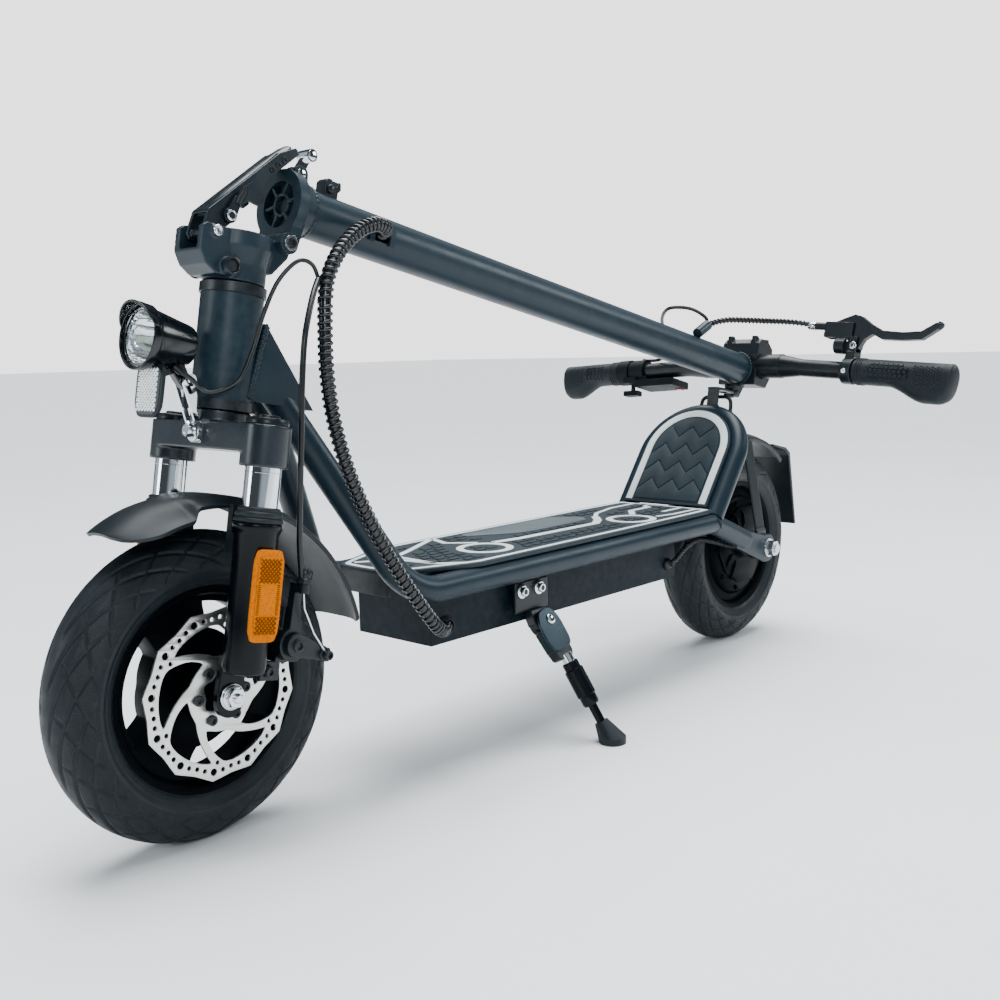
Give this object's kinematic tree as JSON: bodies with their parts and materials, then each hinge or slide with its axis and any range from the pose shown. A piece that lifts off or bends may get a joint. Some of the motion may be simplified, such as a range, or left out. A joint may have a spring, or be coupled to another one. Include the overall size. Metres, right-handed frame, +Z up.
{
  "type": "folding electric kick scooter",
  "caption": "Folding electric kick scooter with a suspension fork, disc brake, hub motor, headlamp, footrest deck and side stand, shown folded.",
  "frame": {"origin": "on the ground, below the middle of the overall box", "axes": "+X forward, +Y to the rider's left, +Z up"},
  "size_m": [1.0935, 0.585, 0.565],
  "materials": {
    "frame_paint": "satin powder coat",
    "fork_gloss": "gloss black paint",
    "chrome": "polished",
    "steel": "brushed",
    "zinc": "bright zinc",
    "alloy": "satin",
    "black_plastic": "matt",
    "gloss_plastic": "gloss",
    "rubber": "matt",
    "mat_rubber": "matt, with a printed pattern",
    "tyre": "matt",
    "amber": "gloss",
    "lens": "clear",
    "red_plastic": "gloss",
    "battery": "matt",
    "black_metal": "satin"
  },
  "bodies": {
    "frame": {"head_tube": "frame_paint", "headset": "black_metal", "rail_left": "frame_paint", "rail_right": "frame_paint", "rear_hoop": "frame_paint", "rear_dropouts": "frame_paint", "battery_box": "frame_paint", "battery_pack": "battery", "deck_plate": "black_metal", "rubber_mats": "mat_rubber", "footrest_plate": "black_metal", "stand_bracket": "fork_gloss", "rear_fender": "black_plastic", "tail_lamp": "black_plastic", "hook_loop": "black_metal", "rear_axle": "zinc", "motor_lead": "rubber", "deck_conduit": "rubber"},
    "charge_cap": {"charge_cap": "black_plastic"},
    "steerer": {"fork_crown": "fork_gloss", "stanchions": "chrome", "hinge_base": "frame_paint", "hinge_pin": "chrome", "headlamp": "gloss_plastic", "lamp_lens": "lens", "lamp_bracket": "steel", "lamp_lead": "rubber", "stem_conduit": "rubber", "brake_cable": "rubber"},
    "fork_lowers": {"lower_legs": "fork_gloss", "dust_seals": "black_plastic", "front_axle": "zinc", "front_fender": "black_plastic", "side_reflectors": "amber", "brake_caliper": "black_metal", "fork_springs": "steel"},
    "brake_arm": {"brake_arm": "steel"},
    "front_wheel": {"front_rim": "fork_gloss", "front_tyre": "tyre", "brake_rotor": "steel", "rotor_bolts": "black_metal"},
    "rear_wheel": {"motor_hub": "fork_gloss", "rear_tyre": "tyre"},
    "side_stand": {"stand_leg": "alloy", "stand_foot": "rubber"},
    "stem": {"stem_tube": "frame_paint", "bar_clamp": "frame_paint", "handlebar": "fork_gloss", "grips": "rubber", "brake_perch": "black_plastic", "display": "black_plastic", "lever_lead": "rubber", "throttle_lead": "rubber"},
    "brake_lever": {"brake_lever": "gloss_plastic"},
    "throttle": {"throttle": "black_plastic"},
    "power_button": {"power_button": "red_plastic"},
    "latch": {"latch_lever": "gloss_plastic"},
    "safety_catch": {"safety_catch": "black_metal"},
    "eyebolt": {"eyebolt": "steel"},
    "fold_hook": {"fold_hook": "black_metal"}
  },
  "joints": [
    {"name": "steering", "type": "hinge", "parent": "frame", "child": "steerer", "pos_m": [0.421, 0, 0.1275], "axis": [-0.1805, 0, 0.9836], "range_deg": [-40, 40], "deforming": ["deck_conduit"]},
    {"name": "fork_travel", "type": "slide", "parent": "steerer", "child": "fork_lowers", "axis": [-0.1805, 0, 0.9836], "range_m": [0, 0.025], "stiffness_N_per_m": 9000, "springref_m": -0.02, "deforming": ["fork_springs", "brake_cable"]},
    {"name": "front_wheel_spin", "type": "hinge", "parent": "fork_lowers", "child": "front_wheel", "pos_m": [0.421, 0, 0.1275], "axis": [0, 1, 0], "continuous": true},
    {"name": "rear_wheel_spin", "type": "hinge", "parent": "frame", "child": "rear_wheel", "pos_m": [-0.401, 0, 0.1275], "axis": [0, 1, 0], "continuous": true},
    {"name": "brake_arm_pull", "type": "hinge", "parent": "fork_lowers", "child": "brake_arm", "pos_m": [0.37014, 0.071, 0.16087], "axis": [0, 1, 0], "range_deg": [0, 10]},
    {"name": "stand_swing", "type": "hinge", "parent": "frame", "child": "side_stand", "pos_m": [0.055, 0.07, 0.12], "axis": [0, 0.8846, 0.4664], "range_deg": [0, 78], "stiffness_Nm_per_rad": 0.6, "springref_deg": -34.38},
    {"name": "stem_fold", "type": "hinge", "parent": "steerer", "child": "stem", "pos_m": [0.32014, 0, 0.48314], "axis": [0, 1, 0], "range_deg": [0, 91.6], "deforming": ["stem_conduit"]},
    {"name": "latch_swing", "type": "hinge", "parent": "steerer", "child": "latch", "pos_m": [0.39124, 0, 0.48907], "axis": [0, 1, 0], "range_deg": [0, 75]},
    {"name": "catch_swing", "type": "hinge", "parent": "latch", "child": "safety_catch", "pos_m": [0.37149, 0.0135, 0.5027], "axis": [0, 1, 0], "range_deg": [0, 12], "stiffness_Nm_per_rad": 0.01, "springref_deg": -17.19},
    {"name": "eyebolt_swing", "type": "hinge", "parent": "stem", "child": "eyebolt", "pos_m": [0.29255, 0, 0.54321], "axis": [0, 1, 0], "range_deg": [-8, 8]},
    {"name": "hook_swing", "type": "hinge", "parent": "stem", "child": "fold_hook", "pos_m": [-0.41857, 0, 0.32714], "axis": [0, -1, 0], "range_deg": [0, 15], "stiffness_Nm_per_rad": 0.05, "springref_deg": -17.19},
    {"name": "brake_lever_squeeze", "type": "hinge", "parent": "stem", "child": "brake_lever", "pos_m": [-0.45102, 0.1589, 0.38472], "axis": [-0.9762, 0.0497, -0.2113], "range_deg": [0, 15.5], "stiffness_Nm_per_rad": 1, "springref_deg": -14.32},
    {"name": "throttle_push", "type": "hinge", "parent": "stem", "child": "throttle", "pos_m": [-0.4435, -0.17351, 0.35342], "axis": [0.0642, -0.996, -0.0627], "range_deg": [0, 21], "stiffness_Nm_per_rad": 0.15, "springref_deg": -17.19},
    {"name": "power_press", "type": "slide", "parent": "stem", "child": "power_button", "axis": [-0.2073, -0.0748, 0.9754], "range_m": [0, 0.0012], "stiffness_N_per_m": 400, "springref_m": -0.0005},
    {"name": "charge_cap_swing", "type": "hinge", "parent": "frame", "child": "charge_cap", "pos_m": [0.091, -0.0525, 0.163], "axis": [-1, 0, 0], "range_deg": [0, 90]}
  ],
  "couplings": [
    {"joint": "latch_swing", "follows": "stem_fold", "ratio": 0.8},
    {"joint": "brake_arm_pull", "follows": "brake_lever_squeeze", "ratio": 0.5}
  ]
}
